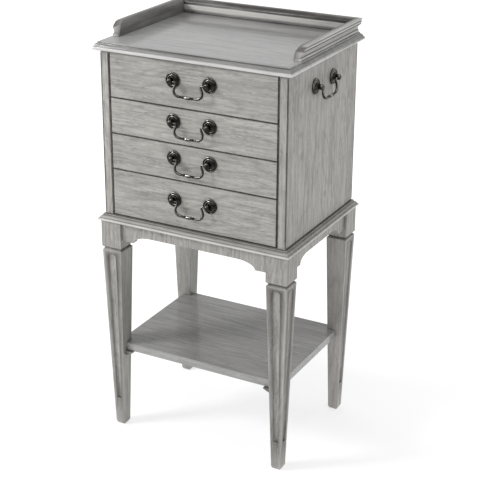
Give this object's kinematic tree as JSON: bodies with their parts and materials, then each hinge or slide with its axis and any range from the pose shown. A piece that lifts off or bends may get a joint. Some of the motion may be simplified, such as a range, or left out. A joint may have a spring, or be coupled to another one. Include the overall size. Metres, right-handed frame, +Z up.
{
  "type": "jewellery chest",
  "caption": "Freestanding chest of shallow felt-lined drawers with bail handles and a railed top, raised on tapered fluted legs with a low shelf.",
  "frame": {"origin": "on the floor, under the middle of the bounding box", "axes": "+Z up, -Y towards the drawer fronts, +X to the right seen from the front"},
  "size_m": [0.4682, 0.3574, 0.9254],
  "materials": {
    "grey_wood": "weathered grey-taupe paint-wash over open grain, dark glaze in the mouldings",
    "inner_wood": "plain sanded secondary wood",
    "antique_brass": "dark antique patina",
    "felt": "matte felt"
  },
  "bodies": {
    "chest": {"leg_front_left": "grey_wood", "leg_front_right": "grey_wood", "leg_back_left": "grey_wood", "leg_back_right": "grey_wood", "apron_front": "grey_wood", "apron_back": "grey_wood", "apron_left": "grey_wood", "apron_right": "grey_wood", "stand_top": "grey_wood", "shelf": "grey_wood", "shelf_cleat_front_left": "grey_wood", "shelf_cleat_front_right": "grey_wood", "shelf_cleat_back_left": "grey_wood", "shelf_cleat_back_right": "grey_wood", "case_side_left": "grey_wood", "case_side_right": "grey_wood", "case_back": "grey_wood", "case_top": "grey_wood", "gallery_left": "grey_wood", "gallery_right": "grey_wood", "gallery_back": "grey_wood", "case_floor": "inner_wood", "lower_drawer_dust_panel": "inner_wood", "upper_drawer_dust_panel": "inner_wood", "top_drawer_dust_panel": "inner_wood", "side_handle_left_post_left": "antique_brass", "side_handle_left_post_right": "antique_brass", "side_handle_right_post_left": "antique_brass", "side_handle_right_post_right": "antique_brass"},
    "bottom_drawer": {"bottom_drawer_front": "grey_wood", "bottom_drawer_box": "inner_wood", "bottom_drawer_bottom": "inner_wood", "bottom_drawer_lining": "felt", "bottom_drawer_post_left": "antique_brass", "bottom_drawer_post_right": "antique_brass"},
    "bottom_drawer_handle": {"bottom_drawer_bail": "antique_brass"},
    "lower_drawer": {"lower_drawer_front": "grey_wood", "lower_drawer_box": "inner_wood", "lower_drawer_bottom": "inner_wood", "lower_drawer_lining": "felt", "lower_drawer_post_left": "antique_brass", "lower_drawer_post_right": "antique_brass"},
    "lower_drawer_handle": {"lower_drawer_bail": "antique_brass"},
    "upper_drawer": {"upper_drawer_front": "grey_wood", "upper_drawer_box": "inner_wood", "upper_drawer_bottom": "inner_wood", "upper_drawer_lining": "felt", "upper_drawer_post_left": "antique_brass", "upper_drawer_post_right": "antique_brass"},
    "upper_drawer_handle": {"upper_drawer_bail": "antique_brass"},
    "top_drawer": {"top_drawer_front": "grey_wood", "top_drawer_box": "inner_wood", "top_drawer_bottom": "inner_wood", "top_drawer_lining": "felt", "top_drawer_post_left": "antique_brass", "top_drawer_post_right": "antique_brass"},
    "top_drawer_handle": {"top_drawer_bail": "antique_brass"},
    "side_handle_left": {"side_handle_left_bail": "antique_brass"},
    "side_handle_right": {"side_handle_right_bail": "antique_brass"}
  },
  "joints": [
    {"name": "bottom_drawer_slide", "type": "slide", "parent": "chest", "child": "bottom_drawer", "axis": [0, -1, 0], "range_m": [0, 0.25]},
    {"name": "bottom_drawer_handle_hinge", "type": "hinge", "parent": "bottom_drawer", "child": "bottom_drawer_handle", "pos_m": [0, -0.17219, 0.58145], "axis": [-1, 0, 0], "range_deg": [0, 95]},
    {"name": "lower_drawer_slide", "type": "slide", "parent": "chest", "child": "lower_drawer", "axis": [0, -1, 0], "range_m": [0, 0.25]},
    {"name": "lower_drawer_handle_hinge", "type": "hinge", "parent": "lower_drawer", "child": "lower_drawer_handle", "pos_m": [0, -0.17219, 0.67245], "axis": [-1, 0, 0], "range_deg": [0, 95]},
    {"name": "upper_drawer_slide", "type": "slide", "parent": "chest", "child": "upper_drawer", "axis": [0, -1, 0], "range_m": [0, 0.25]},
    {"name": "upper_drawer_handle_hinge", "type": "hinge", "parent": "upper_drawer", "child": "upper_drawer_handle", "pos_m": [0, -0.17219, 0.75045], "axis": [-1, 0, 0], "range_deg": [0, 95]},
    {"name": "top_drawer_slide", "type": "slide", "parent": "chest", "child": "top_drawer", "axis": [0, -1, 0], "range_m": [0, 0.25]},
    {"name": "top_drawer_handle_hinge", "type": "hinge", "parent": "top_drawer", "child": "top_drawer_handle", "pos_m": [0, -0.17219, 0.8367], "axis": [-1, 0, 0], "range_deg": [0, 95]},
    {"name": "side_handle_left_hinge", "type": "hinge", "parent": "chest", "child": "side_handle_left", "pos_m": [-0.2277, 0.00391, 0.829], "axis": [0, 1, 0], "range_deg": [0, 95]},
    {"name": "side_handle_right_hinge", "type": "hinge", "parent": "chest", "child": "side_handle_right", "pos_m": [0.2277, 0.00391, 0.829], "axis": [0, -1, 0], "range_deg": [0, 95]}
  ]
}
